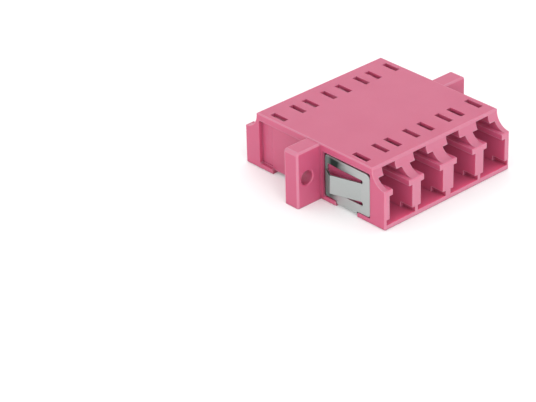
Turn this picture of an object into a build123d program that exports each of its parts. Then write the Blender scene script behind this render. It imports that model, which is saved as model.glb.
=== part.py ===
from build123d import *
import os

# A four-port fibre adapter: a moulded housing with a flange ear on each side and open ports at both ends,
# a U-shaped spring clip round its front half, and in each port line a split sleeve between two holders.
# Millimetres. X runs across the ports, Y along them with the clip towards -Y, and Z is up.
# The origin is at mid-width and mid-length on the underside, so the part rests on Z = 0.

# Housing block
body_width = 25.6
body_length = 29.1
body_height = 9.15
scoop_rim = 0.36
ledge_height = 6.25
floor_thickness = 0.8
roof_thickness = 0.55
centre_wall = 1.0
edge_radius = 0.2
foot_chamfer = 0.15

# Flange ears
ear_span = 34.5
ear_thickness = 2.8
ear_height = 9.0
ear_corner_radius = 0.5
ear_edge_radius = 0.3
hole_pitch = 30.7
hole_diameter = 2.2
hole_chamfer = 0.15

# Ports, in two pairs
port_pitch = 6.25
pair_pitch = 12.95
plug_width = 4.6
plug_height = 4.55
rail_overhang = 0.65
latch_width = 4.7
channel_end = 3.5
groove_undercut = 0.58
groove_height = 0.85
groove_length = 2.4

# Catch lips under the roof, and the windows behind them
lip_height = 1.15
lip_gap = 2.6
catch_distance = 10.05
window_length = 3.0
window_width = 0.95

# Clip recess in each side
recess_depth = 0.5
recess_start = 2.15
recess_end = 11.55
recess_bottom = 0.8
recess_top = 8.0
recess_corner = 0.25
pocket_extra = 0.15
outer_pocket_start = 9.2
inner_pocket_end = 4.3
inner_pocket_top = 4.9

# Clip strap and its channel under the floor
strap_width = 4.2
strap_clearance = 0.1
strap_centre = 6.7
strap_opening_corner = 0.3
channel_depth = 0.4
channel_edge_radius = 0.3

# Clip plates
sheet = 0.25
clip_inset = 0.1
bend_radius = 0.3
plate_top_gap = 0.35
plate_bottom_gap = 0.05
plate_outer_gap = 0.15
plate_inner_gap = 0.05
plate_corner = 0.45
plate_front_corner = 0.85
neck_radius = 0.15
strip_width = 1.33
slit_width = 0.6
slit_root = 9.97
closing_strip = 0.45
window_corner = 0.35
joggle_start = 5.4
joggle_length = 2.1
joggle_radius = 4.0

# Clip tongues
tongue_root = 9.6
tongue_crest = 4.74
crest_reach = 1.4
tongue_tip = 2.95
tip_reach = 0.4
tongue_bend_radius = 0.6

# Split sleeves
sleeve_length = 6.8
sleeve_outer = 1.62
sleeve_inner = 1.246
sleeve_slit = 0.25

# Sleeve holders
holder_outer = 2.8
holder_mouth = 1.42
holder_lip = 0.45
flange_thickness = 0.9
flange_clearance = 0.1
flange_chamfer = 0.3
wall_bore = 3.2
spigot_clearance = 0.02
sleeve_play = 0.06
sleeve_end_play = 0.05

# Places worked out from the sizes above
half_width = body_width / 2
half_length = body_length / 2
scoop_radius = body_height - ledge_height - scoop_rim
wall_face = centre_wall / 2
plug_top = floor_thickness + plug_height
roof_bottom = body_height - roof_thickness
lip_bottom = roof_bottom - lip_height
axis_height = floor_thickness + plug_height / 2
port_places = [
    pair * pair_pitch / 2 + port * port_pitch / 2
    for pair in (-1, 1)
    for port in (-1, 1)
]
channel_width = strap_width + 2 * strap_clearance
beyond = 1.0
same_place = 0.001

# The empty space of one port at the front end, about X = 0
with BuildPart() as port_space:
    # The square cavity that takes the plug's body, from the mouth to the centre wall
    with BuildSketch(Plane.XZ.offset(wall_face)):
        with Locations((0, floor_thickness)):
            Rectangle(plug_width, plug_height, align=(Align.CENTER, Align.MIN))
    extrude(amount=half_length - wall_face + beyond)

    # The gap between the two rails, and the wider latch channel above them, up to the roof
    with BuildSketch(Plane.XZ.offset(channel_end)):
        with Locations((0, plug_top)):
            Rectangle(
                plug_width - 2 * rail_overhang,
                ledge_height - plug_top,
                align=(Align.CENTER, Align.MIN),
            )
        with Locations((0, ledge_height)):
            Rectangle(latch_width, roof_bottom - ledge_height, align=(Align.CENTER, Align.MIN))
    extrude(amount=catch_distance - channel_end)

    # The same channel through the mouth, narrowed under the roof by the two catch lips
    with BuildSketch(Plane.XZ.offset(catch_distance)):
        with Locations((0, plug_top)):
            Rectangle(
                plug_width - 2 * rail_overhang,
                ledge_height - plug_top,
                align=(Align.CENTER, Align.MIN),
            )
        with Locations((0, ledge_height)):
            Rectangle(latch_width, lip_bottom - ledge_height, align=(Align.CENTER, Align.MIN))
        with Locations((0, lip_bottom)):
            Rectangle(lip_gap, lip_height, align=(Align.CENTER, Align.MIN))
    extrude(amount=half_length - catch_distance + beyond)

    # The undercut groove along the foot of each wall, which stops short inside the mouth
    with BuildSketch(Plane.XZ.offset(half_length - groove_length)):
        with Locations((0, floor_thickness)):
            Rectangle(
                plug_width + 2 * groove_undercut,
                groove_height,
                align=(Align.CENTER, Align.MIN),
            )
    extrude(amount=groove_length + beyond)

    # The roof windows, each beside a wall, from the back of its lip
    with BuildSketch(Plane.XY.offset(roof_bottom)):
        with Locations(
            ((window_width - latch_width) / 2, window_length / 2 - catch_distance),
            ((latch_width - window_width) / 2, window_length / 2 - catch_distance),
        ):
            Rectangle(window_width, window_length)
    extrude(amount=roof_thickness + beyond)

# The empty space of the clip recess at the front of the +X side
with BuildPart() as recess_space:
    # The main recess, open to the side
    with BuildSketch(Plane.YZ.offset(half_width - recess_depth)) as recess_outline:
        with BuildLine():
            Polyline(
                (-recess_end, recess_bottom),
                (-recess_start, recess_bottom),
                (-recess_start, recess_top),
                (-recess_end, recess_top),
                close=True,
            )
        make_face()
        fillet(recess_outline.vertices(), radius=recess_corner)
    extrude(amount=recess_depth + beyond)

    # Two shallow pockets in its floor: one for the root of the tongue, one for the pressed-in tip
    with BuildSketch(Plane.YZ.offset(half_width - recess_depth)):
        with BuildLine():
            Polyline(
                (-recess_end, recess_bottom + recess_corner),
                (-outer_pocket_start, recess_bottom + recess_corner),
                (-outer_pocket_start, recess_top - recess_corner),
                (-recess_end, recess_top - recess_corner),
                close=True,
            )
        make_face()
        with BuildLine():
            Polyline(
                (-inner_pocket_end, recess_bottom + recess_corner),
                (-recess_start, recess_bottom + recess_corner),
                (-recess_start, inner_pocket_top),
                (-inner_pocket_end, inner_pocket_top),
                close=True,
            )
        make_face()
    extrude(amount=-pocket_extra)

    # The opening in the ledge below, where the strap goes round the edge, rounded into the ledge
    with BuildSketch(Plane.YZ.offset(half_width - recess_depth)):
        with Locations((-strap_centre, 0)):
            Rectangle(channel_width, 2 * recess_bottom)
    extrude(amount=recess_depth + beyond)
    opening_corners = recess_space.edges().filter_by(Axis.X).filter_by(
        lambda edge: abs(edge.center().Z - recess_bottom) < same_place
        and abs(abs(edge.center().Y + strap_centre) - channel_width / 2) < same_place)
    fillet(opening_corners, radius=strap_opening_corner)

# The shallow channel for the strap, right across the underside, and round where the strap bends upwards
with BuildPart() as channel_space:
    with BuildSketch(Plane.XZ.offset(strap_centre)) as channel_outline:
        with BuildLine():
            Polyline(
                (-half_width, 0),
                (half_width, 0),
                (half_width, recess_bottom),
                (half_width - recess_depth, recess_bottom),
                (half_width - recess_depth, channel_depth),
                (recess_depth - half_width, channel_depth),
                (recess_depth - half_width, recess_bottom),
                (-half_width, recess_bottom),
                close=True,
            )
        make_face()
        bend_corners = channel_outline.vertices().filter_by(
            lambda corner: abs(corner.Y - channel_depth) < same_place)
        fillet(bend_corners, radius=channel_edge_radius)
    extrude(amount=channel_width / 2, both=True)

# The two ears are one bar through the housing at mid-length, rounded everywhere but underneath
with BuildPart() as ear_bar:
    with BuildSketch(Plane.XZ) as ear_outline:
        Rectangle(ear_span, ear_height, align=(Align.CENTER, Align.MIN))
        fillet(ear_outline.vertices().group_by(Axis.Y)[-1], radius=ear_corner_radius)
    extrude(amount=ear_thickness / 2, both=True)
    ear_rims = ear_bar.faces().filter_by(Axis.Y).edges() - ear_bar.faces().sort_by(Axis.Z)[0].edges()
    fillet(ear_rims, radius=ear_edge_radius)
    with BuildSketch(Plane.XZ):
        with Locations((-hole_pitch / 2, ear_height / 2), (hole_pitch / 2, ear_height / 2)):
            Circle(hole_diameter / 2)
    extrude(amount=ear_thickness / 2, both=True, mode=Mode.SUBTRACT)
    hole_rims = ear_bar.edges().filter_by(GeomType.CIRCLE).filter_by(lambda edge: edge.is_closed)
    chamfer(hole_rims, length=hole_chamfer)

# The housing: one moulding. Its ends are scooped from the roof out to the ledges that cap the walls.
with BuildPart() as housing:
    with BuildSketch(Plane.YZ):
        with BuildLine() as profile:
            end_face = Polyline((0, 0), (half_length, 0), (half_length, ledge_height))
            scoop = CenterArc(
                (half_length, ledge_height + scoop_radius), scoop_radius, 180, 90)
            Polyline(scoop @ 0, (half_length - scoop_radius, body_height), (0, body_height))
            mirror(about=Plane.YZ)
        make_face()
    extrude(amount=half_width, both=True)
    roof_rims = housing.faces().sort_by(Axis.Z)[-1].edges()
    end_rims = housing.faces().filter_by(Axis.Y).filter_by(
        lambda face: abs(face.center().Y) > half_length - scoop_radius).edges()
    foot_rims = housing.faces().sort_by(Axis.Z)[0].edges()
    fillet(roof_rims + (end_rims - foot_rims), radius=edge_radius)
    chamfer(housing.faces().sort_by(Axis.Z)[0].edges(), length=foot_chamfer)
    add(ear_bar.part)

    # The same ports at both ends
    with Locations([(place, 0, 0) for place in port_places]):
        add(port_space.part, mode=Mode.SUBTRACT)
        add(port_space.part.mirror(Plane.XZ), mode=Mode.SUBTRACT)

    # The centre wall has a bore on each port's axis
    with BuildSketch(Plane.XZ):
        with Locations([(place, axis_height) for place in port_places]):
            Circle(wall_bore / 2)
    extrude(amount=centre_wall, both=True, mode=Mode.SUBTRACT)

    # Recesses and strap channels are alike at all four corners, so the clip can go on either half
    for front_space in (recess_space.part, channel_space.part):
        add(front_space, mode=Mode.SUBTRACT)
        add(front_space.mirror(Plane.XZ), mode=Mode.SUBTRACT)
    add(recess_space.part.mirror(Plane.YZ), mode=Mode.SUBTRACT)
    add(recess_space.part.mirror(Plane.YZ).mirror(Plane.XZ), mode=Mode.SUBTRACT)

# The clip: one bent strip of spring steel. Each side plate lies in its recess and holds a tongue that slopes
# outward from its root at the front and turns in again at its tip; the strap joins the plates underneath.
plate_outer = half_width - clip_inset
plate_middle = plate_outer - sheet / 2
joggle_depth = recess_depth - clip_inset - sheet
plate_front = -recess_end + plate_outer_gap
plate_back = -recess_start - plate_inner_gap
plate_bottom = recess_bottom + plate_bottom_gap
plate_top = recess_top - plate_top_gap
tongue_bottom = plate_bottom + strip_width + slit_width
tongue_top = plate_top - strip_width - slit_width
strap_middle = channel_depth - sheet / 2
bend_middle = bend_radius + sheet / 2

with BuildPart() as clip_side:
    # The plate's sheet, flat at the front and stepped in to the recess floor beside the ear
    with BuildSketch(Plane.XY.offset(strap_middle + bend_middle)):
        with BuildLine() as sheet_line:
            FilletPolyline(
                (plate_middle, plate_front - beyond),
                (plate_middle, -joggle_start),
                (plate_middle - joggle_depth, -joggle_start + joggle_length),
                (plate_middle - joggle_depth, plate_back + beyond),
                radius=joggle_radius,
            )
        trace(sheet_line.line, line_width=sheet)
    extrude(amount=plate_top)

    # Its outline, with the neck that runs down into the strap
    with BuildSketch(Plane.YZ) as plate_outline:
        with BuildLine():
            Polyline(
                (plate_front, plate_bottom),
                (plate_front, plate_top),
                (plate_back, plate_top),
                (plate_back, plate_bottom),
                close=True,
            )
        make_face()
        fillet(plate_outline.vertices().group_by(Axis.X)[0].sort_by(Axis.Y)[-1], radius=plate_front_corner)
        square_corners = plate_outline.vertices().filter_by(
            lambda corner: abs(corner.X - plate_back) < same_place
            or abs(corner.X - plate_front) + abs(corner.Y - plate_bottom) < same_place)
        fillet(square_corners, radius=plate_corner)
        with Locations((-strap_centre, 0)):
            Rectangle(strap_width, 2 * plate_bottom)
        neck_corners = plate_outline.vertices().filter_by(
            lambda corner: abs(corner.Y - plate_bottom) < same_place
            and abs(abs(corner.X + strap_centre) - strap_width / 2) < same_place)
        fillet(neck_corners, radius=neck_radius)
    extrude(amount=body_width, mode=Mode.INTERSECT)

    # The window round the tongue: two slits with round ends that open into one space beside the ear
    with BuildSketch(Plane.YZ) as window:
        with BuildLine():
            Polyline(
                (-slit_root + slit_width / 2, plate_bottom + strip_width),
                (plate_back - closing_strip, plate_bottom + strip_width),
                (plate_back - closing_strip, plate_top - strip_width),
                (-slit_root + slit_width / 2, plate_top - strip_width),
                close=True,
            )
        make_face()
        fillet(window.vertices().group_by(Axis.X)[-1], radius=window_corner)
        with Locations(
            (-slit_root + slit_width / 2, tongue_bottom - slit_width / 2),
            (-slit_root + slit_width / 2, tongue_top + slit_width / 2),
        ):
            Circle(slit_width / 2)
    extrude(amount=body_width, mode=Mode.SUBTRACT)

    # The tongue
    with BuildSketch(Plane.XY.offset(tongue_bottom)):
        with BuildLine() as tongue_line:
            FilletPolyline(
                (plate_middle, -slit_root),
                (plate_middle, -tongue_root),
                (half_width + crest_reach - sheet / 2, -tongue_crest),
                (half_width + tip_reach - sheet / 2, -tongue_tip),
                radius=tongue_bend_radius,
            )
        trace(tongue_line.line, line_width=sheet)
    extrude(amount=tongue_top - tongue_bottom)

with BuildPart() as clip:
    add(clip_side.part)
    mirror(clip_side.part, about=Plane.YZ)
    with BuildSketch(Plane.XZ.offset(strap_centre)):
        with BuildLine() as strap_line:
            FilletPolyline(
                (-plate_middle, plate_bottom + neck_radius),
                (-plate_middle, strap_middle),
                (plate_middle, strap_middle),
                (plate_middle, plate_bottom + neck_radius),
                radius=bend_middle,
            )
        trace(strap_line.line, line_width=sheet)
    extrude(amount=strap_width / 2, both=True)

# One split sleeve: a thin ceramic tube with a slit along its top
with BuildPart() as sleeve:
    with BuildSketch(Plane.XZ):
        Circle(sleeve_outer / 2)
        Circle(sleeve_inner / 2, mode=Mode.SUBTRACT)
        Rectangle(sleeve_slit, sleeve_outer, align=(Align.CENTER, Align.MIN), mode=Mode.SUBTRACT)
    extrude(amount=sleeve_length / 2, both=True)

# One sleeve holder, for the front: a square flange on the centre wall, a spigot in the wall's bore,
# and a tube round half of the sleeve, whose narrowed mouth keeps the sleeve in and lets the ferrule through
tube_end = sleeve_length / 2 + sleeve_end_play + holder_lip
with BuildPart() as holder:
    with BuildSketch(Plane.XZ.offset(wall_face)) as flange_outline:
        Rectangle(plug_width - 2 * flange_clearance, plug_height - 2 * flange_clearance)
        chamfer(flange_outline.vertices(), length=flange_chamfer)
    extrude(amount=flange_thickness)
    with BuildSketch(Plane.XZ.offset(spigot_clearance)):
        Circle(wall_bore / 2 - spigot_clearance)
    extrude(amount=wall_face - spigot_clearance)
    with BuildSketch(Plane.XZ.offset(wall_face)):
        Circle(holder_outer / 2)
    extrude(amount=tube_end - wall_face)
    with BuildSketch(Plane.XZ):
        Circle(sleeve_outer / 2 + sleeve_play)
    extrude(amount=tube_end - holder_lip, mode=Mode.SUBTRACT)
    with BuildSketch(Plane.XZ):
        Circle(holder_mouth / 2)
    extrude(amount=tube_end, mode=Mode.SUBTRACT)

# Every piece under its own name
pieces = {"housing": housing.part, "clip": clip.part}
for number, place in enumerate(port_places, start=1):
    axis = Location((place, 0, axis_height))
    pieces[f"split_sleeve_{number}"] = sleeve.part.moved(axis)
    pieces[f"front_holder_{number}"] = holder.part.moved(axis)
    pieces[f"rear_holder_{number}"] = holder.part.mirror(Plane.XZ).moved(axis)

os.makedirs("parts", exist_ok=True)
for name, piece in pieces.items():
    piece.label = name
    export_step(piece, f"parts/{name}.step")
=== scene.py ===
import math

import bpy
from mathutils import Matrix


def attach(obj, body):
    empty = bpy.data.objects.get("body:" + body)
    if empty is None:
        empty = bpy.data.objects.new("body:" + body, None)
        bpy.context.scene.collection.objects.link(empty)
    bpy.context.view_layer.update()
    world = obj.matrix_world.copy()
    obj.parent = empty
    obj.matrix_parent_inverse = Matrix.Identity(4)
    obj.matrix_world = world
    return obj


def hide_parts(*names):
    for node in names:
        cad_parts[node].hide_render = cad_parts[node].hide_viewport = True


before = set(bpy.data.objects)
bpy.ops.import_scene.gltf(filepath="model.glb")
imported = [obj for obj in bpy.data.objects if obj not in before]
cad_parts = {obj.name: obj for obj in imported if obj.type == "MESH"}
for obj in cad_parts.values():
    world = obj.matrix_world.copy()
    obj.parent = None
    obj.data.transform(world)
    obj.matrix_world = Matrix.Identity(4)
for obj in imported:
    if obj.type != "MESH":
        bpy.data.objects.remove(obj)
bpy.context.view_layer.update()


# The housing is one block of moulded plastic with open ports, two ears and clip recesses. The
# mould's spark-eroded walls leave a satin skin with a fine grain, and every edge comes out
# slightly round, with a painted highlight that makes it paler.
rose = (0.52, 0.082, 0.174)
# The second colour is a painted highlight on edges and pale faces, the third is painted light near the
# port mouths
rose_highlight = (0.54, 0.26, 0.34)
rose_mouth_lit = (0.85, 0.125, 0.26)
satin = 0.5
housing_round = 0.00014

# Places on the housing: distances from mid-width or mid-length, and heights above the underside
hole_across = 0.01535
hole_height = 0.0045
hole_reach = 0.00115
window_reach = 0.0124
window_floor = 0.0087
scoop_start = 0.0119
scoop_top = 0.0088
rim_level = 0.0085
port_reach = 0.01205
port_low = 0.0007
port_high = 0.005
mouth_glow_start = 0.0105
mouth_glow_end = 0.0148
side_inner = 0.0121
side_outer = 0.013
recess_low = 0.0006
recess_high = 0.0081
recess_end = 0.012
ear_strip_start = 0.0018
ear_strip_end = 0.0023
soft_step = 0.0001

# How strong the painted highlights, painted shade and painted light at the port mouths are on the
# marked places, where 1 is the most
edge_highlight = 0.45
scoop_highlight = 0.3
hollow_shade = 0.06
window_end_shade = 0.35
ear_strip_shade = 0.4
wall_glow = 0.25

# What counts as a narrow face, and as square to an axis or along it
narrow = 0.0001
nearly_one = 0.999
nearly_zero = 0.01


def smooth_copy(node, name):
    """A merged copy of a node, smooth over its rounds and flat on its flats."""
    bpy.ops.object.select_all(action="DESELECT")
    piece = bpy.data.objects.new(name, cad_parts[node].data.copy())
    piece.data.name = name
    bpy.context.scene.collection.objects.link(piece)
    bpy.context.view_layer.objects.active = piece
    piece.select_set(True)
    bpy.ops.mesh.customdata_custom_splitnormals_clear()
    bpy.ops.object.mode_set(mode="EDIT")
    bpy.ops.mesh.select_all(action="SELECT")
    bpy.ops.mesh.remove_doubles(threshold=1e-6)
    bpy.ops.mesh.dissolve_limited(angle_limit=math.radians(0.5))
    bpy.ops.object.mode_set(mode="OBJECT")
    bpy.ops.object.shade_smooth_by_angle(angle=math.radians(35))
    even = piece.modifiers.new("even_shading", "WEIGHTED_NORMAL")
    even.keep_sharp = True
    bpy.ops.object.modifier_apply(modifier=even.name)
    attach(piece, "root")
    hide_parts(node)
    return piece


def face_tone(face, longest_edge, end_reach):
    """How much painted highlight, above 0, or painted shade, below 0, a face of the housing gets on the
    plain skin.
    """
    across, along, height = (abs(part) for part in face.center)
    to_side, to_end, to_top = (abs(part) for part in face.normal)
    square_on = max(to_side, to_end, to_top) > nearly_one
    # Painted shade on the walls of the ear holes and of the roof windows
    if to_end < nearly_zero and math.hypot(across - hole_across, height - hole_height) < hole_reach:
        return -hollow_shade
    if to_top < nearly_zero and height > window_floor and across < window_reach and along < scoop_start:
        return -hollow_shade - window_end_shade * to_end
    # Painted highlight on the scoops, the narrow rounds, the roof rim and the wall ends
    upward = face.normal.z > 0 and to_side < 0.5
    if upward and not square_on and along > scoop_start and height < scoop_top:
        return scoop_highlight
    if not square_on and face.area < narrow * longest_edge:
        return edge_highlight
    on_rim = along > scoop_start and height > rim_level
    if to_end > nearly_one and (on_rim or along > end_reach - narrow):
        return edge_highlight
    return 0


def mark_faces(piece):
    """Writes each face's tone of painted highlight or shade, and how much of the painted light at a
    port's mouth it takes.
    """
    mesh = piece.data
    for mark in ("tone", "glow"):
        mesh.attributes.new(mark, "FLOAT", "FACE")
    end_reach = max(abs(corner.co.y) for corner in mesh.vertices)
    tones = mesh.attributes["tone"].data
    glows = mesh.attributes["glow"].data
    for face in mesh.polygons:
        edges = ((mesh.vertices[start].co, mesh.vertices[end].co) for start, end in face.edge_keys)
        longest_edge = max((start - end).length for start, end in edges)
        tones[face.index].value = face_tone(face, longest_edge, end_reach)
        # Painted light near the port mouths, strongest on the floors
        in_port = abs(face.center.x) < port_reach and port_low < face.center.z < port_high
        if in_port and abs(face.normal.y) < 0.1:
            glows[face.index].value = 1 if face.normal.z > 0.9 else wall_glow


def new_material(name):
    """A material, its node tree and its shader."""
    material = bpy.data.materials.new(name)
    material.use_nodes = True
    return material, material.node_tree, material.node_tree.nodes["Principled BSDF"]


def add_node(tree, kind, settings=None, values=None, sources=None):
    """A node with its settings, its fixed inputs and its incoming links."""
    node = tree.nodes.new(kind)
    for setting, value in (settings or {}).items():
        setattr(node, setting, value)
    for socket, value in (values or {}).items():
        node.inputs[socket].default_value = value
    for socket, source in (sources or {}).items():
        tree.links.new(source, node.inputs[socket])
    return node


def noise(tree, place, scale, detail):
    """Cloudy noise with so many cells to a metre."""
    values = {"Scale": scale, "Detail": detail}
    cells = add_node(tree, "ShaderNodeTexNoise", values=values, sources={"Vector": place})
    return cells.outputs["Fac"]


def spread(tree, source, start, end, to_start=0, to_end=1):
    """Runs from to_start to to_end as the source runs from start to end, and is held past both."""
    values = {"From Min": start, "From Max": end, "To Min": to_start, "To Max": to_end}
    run = add_node(tree, "ShaderNodeMapRange", values=values, sources={"Value": source})
    return run.outputs["Result"]


def combine(tree, operation, *sources):
    """All the sources joined, two at a time, by one operation."""
    settings = {"operation": operation}
    joined = sources[0]
    for source in sources[1:]:
        step = add_node(tree, "ShaderNodeMath", settings, sources={0: joined, 1: source})
        joined = step.outputs["Value"]
    return joined


def blend(tree, factor, first, second):
    """The first colour, turning into the second as the factor rises to 1."""
    mix = add_node(tree, "ShaderNodeMix", {"data_type": "RGBA"}, sources={"Factor": factor})
    for socket, colour in (("A", first), ("B", second)):
        if isinstance(colour, tuple):
            mix.inputs[socket].default_value = (*colour, 1)
        else:
            tree.links.new(colour, mix.inputs[socket])
    return mix.outputs["Result"]


def shaded(colour, share):
    """A colour with each band times the share."""
    return tuple(share * band for band in colour)


def axes_of(tree, vector):
    """The X, Y and Z parts of a vector."""
    return add_node(tree, "ShaderNodeSeparateXYZ", sources={"Vector": vector}).outputs


def open_share(tree, distance, inside):
    """How open the space is within a distance, outside the skin or inside it."""
    settings = {"inside": inside, "samples": 8}
    return add_node(tree, "ShaderNodeAmbientOcclusion", settings, {"Distance": distance}).outputs["AO"]


def soft_relief(tree, skin, height, edge_round, strength, depth):
    """Gives the skin rounded edges and a fine relief, and returns the rounded normal."""
    bevel = add_node(tree, "ShaderNodeBevel", {"samples": 8}, {"Radius": edge_round})
    rounded = bevel.outputs["Normal"]
    values = {"Strength": strength, "Distance": depth}
    sources = {"Height": height, "Normal": rounded}
    relief = add_node(tree, "ShaderNodeBump", values=values, sources=sources)
    tree.links.new(relief.outputs["Normal"], skin.inputs["Normal"])
    return rounded


def off_screw_holes(tree, mirrored):
    """1 away from the rims of the ears' holes, and 0 on them."""
    multiply, measure = {"operation": "MULTIPLY"}, {"operation": "DISTANCE"}
    flatten, centre = {1: (1, 0, 1)}, {1: (hole_across, 0, hole_height)}
    flat = add_node(tree, "ShaderNodeVectorMath", multiply, flatten, {0: mirrored}).outputs["Vector"]
    distance = add_node(tree, "ShaderNodeVectorMath", measure, centre, {0: flat}).outputs["Value"]
    return spread(tree, distance, 1.25 * hole_reach, 1.4 * hole_reach)


def recess_rims(tree, mirrored):
    """1 on the side skin round the clip recesses, and 0 elsewhere."""
    where = axes_of(tree, mirrored)
    return combine(
        tree,
        "MULTIPLY",
        spread(tree, where["X"], side_inner, side_inner + soft_step),
        spread(tree, where["X"], side_outer, side_outer - soft_step),
        spread(tree, where["Y"], recess_end, recess_end - soft_step),
        spread(tree, where["Z"], recess_low, recess_low + soft_step),
        spread(tree, where["Z"], recess_high, recess_high - soft_step),
    )


def painted_mouth_light(tree, mirrored):
    """How far the light that enters a port's mouth still brightens its floor and walls, as painted
    light.
    """
    near_mouth = spread(tree, axes_of(tree, mirrored)["Y"], mouth_glow_start, mouth_glow_end)
    glow = add_node(tree, "ShaderNodeAttribute", {"attribute_name": "glow"}).outputs["Fac"]
    return combine(tree, "MULTIPLY", near_mouth, near_mouth, glow)


def painted_highlight(tree, mirrored, tone, edge_round):
    """Painted highlight on pale-marked faces and outer edges, except at the roof, screw holes, hollows
    and clip recesses.
    """
    near_edge = spread(tree, open_share(tree, 1.4 * edge_round, inside=True), 0.95, 0.5, to_end=0.7)
    upward = axes_of(tree, add_node(tree, "ShaderNodeNewGeometry").outputs["Normal"])["Z"]
    off_roof = spread(tree, upward, nearly_one, 0.97)
    off_holes = off_screw_holes(tree, mirrored)
    off_hollows = spread(tree, tone, -0.05, 0)
    off_rims = spread(tree, recess_rims(tree, mirrored), 1, 0)
    edge = combine(tree, "MULTIPLY", near_edge, off_roof, off_holes, off_hollows, off_rims)
    return combine(tree, "MAXIMUM", edge, tone)


def painted_shade_share(tree, mirrored, tone, edge_round):
    """The share of its colour that the skin keeps under painted shade in corners and hollows, and in a
    painted shadow strip between ear and clip.
    """
    # Painted shade in corners, deeper where less open space surrounds the skin
    corner = spread(tree, open_share(tree, 8 * edge_round, inside=False), 0.1, 0.7, to_start=0.55)
    in_hollow = spread(tree, tone, 0, -0.05)
    along = axes_of(tree, mirrored)["Y"]
    # Painted shadow on a strip of the side between ear and clip
    ear_shadow_strip = combine(
        tree,
        "MULTIPLY",
        recess_rims(tree, mirrored),
        spread(tree, along, ear_strip_start, ear_strip_start + 2 * soft_step),
        spread(tree, along, ear_strip_end, ear_strip_end - soft_step),
    )
    return combine(
        tree,
        "MULTIPLY",
        combine(tree, "MAXIMUM", corner, in_hollow),
        spread(tree, tone, -1, 0),
        spread(tree, ear_shadow_strip, 0, 1, 1, 1 - ear_strip_shade),
    )


def satin_skin(name, colour, highlight_colour, mouth_lit_colour, roughness, edge_round):
    """A moulded or ground satin skin with faint clouds and a fine grain, painted highlights on edges,
    painted light at port mouths and painted shade in corners.
    """
    material, tree, skin = new_material(name)
    skin.inputs["IOR"].default_value = 1.6
    skin.inputs["Subsurface Weight"].default_value = 0.35
    skin.inputs["Subsurface Radius"].default_value = (1, 0.3, 0.4)
    skin.inputs["Subsurface Scale"].default_value = 0.0012
    place = add_node(tree, "ShaderNodeTexCoord").outputs["Object"]
    absolute = {"operation": "ABSOLUTE"}
    mirrored = add_node(tree, "ShaderNodeVectorMath", absolute, sources={0: place}).outputs["Vector"]
    tone = add_node(tree, "ShaderNodeAttribute", {"attribute_name": "tone"}).outputs["Fac"]

    grain = noise(tree, place, scale=9000, detail=2)
    soft_relief(tree, skin, grain, edge_round, strength=0.15, depth=0.00002)

    clouds = noise(tree, place, scale=160, detail=4)
    gloss = spread(tree, clouds, 0, 1, roughness - 0.06, roughness + 0.06)
    tree.links.new(gloss, skin.inputs["Roughness"])
    clouded = blend(tree, clouds, colour, shaded(colour, 0.93))

    # Painted light on the floors and walls near the port mouths
    lit = blend(tree, painted_mouth_light(tree, mirrored), clouded, mouth_lit_colour)
    # Painted highlight on the edges and pale faces
    highlighted = blend(tree, painted_highlight(tree, mirrored, tone, edge_round), lit, highlight_colour)
    # Painted shade in corners, in hollows and beside the ears
    dark = painted_shade_share(tree, mirrored, tone, edge_round)
    multiply = {"data_type": "RGBA", "blend_type": "MULTIPLY"}
    shadowed = add_node(tree, "ShaderNodeMix", multiply, {"Factor": 1}, {"A": highlighted, "B": dark})
    tree.links.new(shadowed.outputs["Result"], skin.inputs["Base Color"])
    return material


def finish(piece, material):
    """Gives a piece its one material."""
    piece.data.materials.clear()
    piece.data.materials.append(material)


housing = smooth_copy("housing", "housing_moulding")
mark_faces(housing)
finish(housing, satin_skin("rose_plastic", rose, rose_highlight, rose_mouth_lit, satin, housing_round))


# The clip is one strip of rolled spring steel, stamped and bent to a U round the front half. Its
# strap lies in the channel under the floor, and its two tongues spring outward to hold the panel
# against the ears.
steel = (0.46, 0.49, 0.48)
# Painted dark reflection near the bend toward the ear, and painted shade on the end beside the ear
steel_dark_reflection = (0.02, 0.032, 0.027)
steel_ear_shade = (0.14, 0.185, 0.17)
steel_gloss = 0.4
stamped_round = 0.00012

# Where the painted dark reflection and painted shade lie beside the ear: distances from mid-length,
# lean and heights
bend_start = -0.0045
bend_full = -0.0027
bend_lean = 0.3
bend_top = 0.0079
bend_level = 0.0073
end_start = -0.0035
end_full = -0.0028


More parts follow.
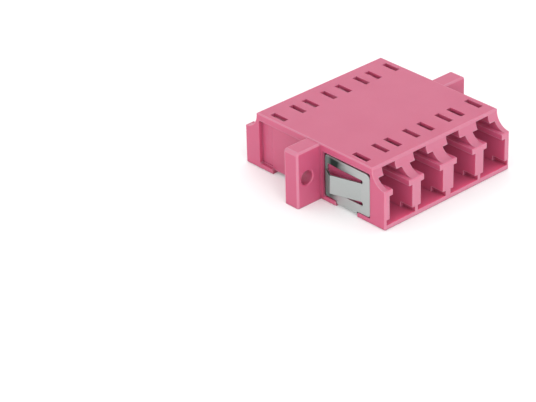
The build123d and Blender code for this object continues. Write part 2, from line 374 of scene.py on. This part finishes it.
def spring_steel(name, colour, reflection_colour, ear_shade_colour, roughness, edge_round):
    """Rolled spring steel with a faint grain along the strip, painted light and shade by facing, and a
    painted dark reflection and painted shade where it bends away to the ear.
    """
    material, tree, skin = new_material(name)
    skin.inputs["IOR"].default_value = 1.12
    place = add_node(tree, "ShaderNodeTexCoord").outputs["Object"]
    along_strip = {"Scale": (1, 0.06, 1)}
    stretch = add_node(tree, "ShaderNodeMapping", values=along_strip, sources={"Vector": place})
    rolling = noise(tree, stretch.outputs["Vector"], scale=6000, detail=3)
    gloss = spread(tree, rolling, 0, 1, roughness - 0.08, roughness + 0.08)
    tree.links.new(gloss, skin.inputs["Roughness"])
    rounded = soft_relief(tree, skin, rolling, edge_round, strength=0.1, depth=0.00001)

    # Painted dark reflection near the bend, and painted shade on the end and on faces turned to the ear
    where = axes_of(tree, place)
    facing = axes_of(tree, rounded)["Y"]
    lean = {"operation": "MULTIPLY_ADD"}
    slant = add_node(tree, "ShaderNodeMath", lean, {1: bend_lean}, {0: where["Z"], 2: where["Y"]})
    near_bend = spread(tree, slant.outputs["Value"], bend_start, bend_full)
    below_rim = spread(tree, where["Z"], bend_top, bend_level)
    off_tongue = spread(tree, facing, -0.05, 0)
    dark_reflection = combine(tree, "MULTIPLY", near_bend, below_rim, off_tongue)
    behind = spread(tree, where["Y"], end_start, end_full)
    returned = spread(tree, facing, 0.15, 0.25)
    painted_dark = combine(tree, "MAXIMUM", dark_reflection, returned)
    painted_dark_colour = blend(tree, combine(tree, "MAXIMUM", behind, returned), reflection_colour, ear_shade_colour)
    # Painted light and shade: a little darker on faces turned toward the front, a little lighter
    # elsewhere
    leaning = spread(tree, facing, -0.25, -0.05)
    lit_and_shaded = blend(tree, leaning, shaded(colour, 0.92), shaded(colour, 1.04))
    tree.links.new(blend(tree, painted_dark, lit_and_shaded, painted_dark_colour), skin.inputs["Base Color"])
    # The painted dark places are drawn as a matt skin that is not metal
    tree.links.new(spread(tree, painted_dark, 0, 1, 1, 0), skin.inputs["Metallic"])
    return material


clip = smooth_copy("clip", "clip_strip")
finish(clip, spring_steel("spring_steel", steel, steel_dark_reflection, steel_ear_shade, steel_gloss, stamped_round))


# Each port line holds a split sleeve of ground zirconia that lines up two plugs. It lies loose
# between two moulded holders, pressed into the centre wall from the front and from the rear.
zirconia_white = (0.85, 0.84, 0.8)
# The paler edge colours are painted highlights on the edges
zirconia_highlight = (0.88, 0.87, 0.84)
ground = 0.3
sleeve_round = 0.00005
holder_rose = (0.5, 0.06, 0.15)
holder_highlight = (0.56, 0.1, 0.2)
holder_round = 0.0001

zirconia = satin_skin(
    "zirconia", zirconia_white, zirconia_highlight, zirconia_white, ground, sleeve_round
)
holder_plastic = satin_skin(
    "holder_plastic", holder_rose, holder_highlight, holder_rose, satin, holder_round
)
for number in range(1, 5):
    finish(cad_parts[f"split_sleeve_{number}"], zirconia)
    finish(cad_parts[f"front_holder_{number}"], holder_plastic)
    finish(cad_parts[f"rear_holder_{number}"], holder_plastic)


# The part rests on a wide sheet of matt white paper, a hair below its underside, in an all-white
# room. The paper glows faintly, so that it stays white round a weak shadow.
paper_size = 4
paper_drop = 0.00002
paper_white = (0.85, 0.85, 0.85, 1)
paper_glow = 0.14
white = (1, 1, 1, 1)
room_brightness = 1.06

bpy.ops.object.select_all(action="DESELECT")
bpy.ops.mesh.primitive_plane_add(size=paper_size, location=(0, 0, -paper_drop))
floor = bpy.context.active_object
floor.name = "floor"
paper, _, matt = new_material("paper")
matt.inputs["Base Color"].default_value = paper_white
matt.inputs["Emission Color"].default_value = white
matt.inputs["Emission Strength"].default_value = paper_glow
matt.inputs["Roughness"].default_value = 0.9
floor.data.materials.append(paper)

room = bpy.data.worlds.new("room")
room.use_nodes = True
room.node_tree.nodes["Background"].inputs["Color"].default_value = white
room.node_tree.nodes["Background"].inputs["Strength"].default_value = room_brightness
bpy.context.scene.world = room


# Four square soft boxes, all aimed at the part: the strongest low in front of the port mouths, one
# on the left for the clip and the ear, a high one for the roof's rim, and one behind against dull
# rear edges.


def soft_box(name, place, size, power):
    """An area light that is aimed at the part."""
    bpy.ops.object.light_add(type="AREA", location=place)
    light = bpy.context.active_object
    light.name = name
    light.data.size = size
    light.data.energy = power
    light.rotation_euler = (-light.location).to_track_quat("-Z", "Y").to_euler()


soft_box("left_light", place=(-0.55, 0.05, 0.2), size=0.4, power=0.36)
soft_box("front_light", place=(-0.25, -0.5, 0.12), size=0.25, power=0.92)
soft_box("high_light", place=(-0.15, -0.46, 0.34), size=0.25, power=0.35)
soft_box("back_light", place=(0.4, 0.42, 0.3), size=0.5, power=0.4)


# The camera stands at the photograph's viewing angle, front left and above, with a long lens.
camera_place = (-0.21926, -0.222, 0.17181)
camera_turn = [math.radians(angle) for angle in (60.344, 1.493, -42.509)]
camera_lens = 161.61

bpy.ops.object.camera_add(location=camera_place, rotation=camera_turn)
camera = bpy.context.active_object
camera.data.lens = camera_lens
camera.data.clip_start = 0.01
bpy.context.scene.camera = camera
bpy.context.scene.view_settings.view_transform = "Standard"
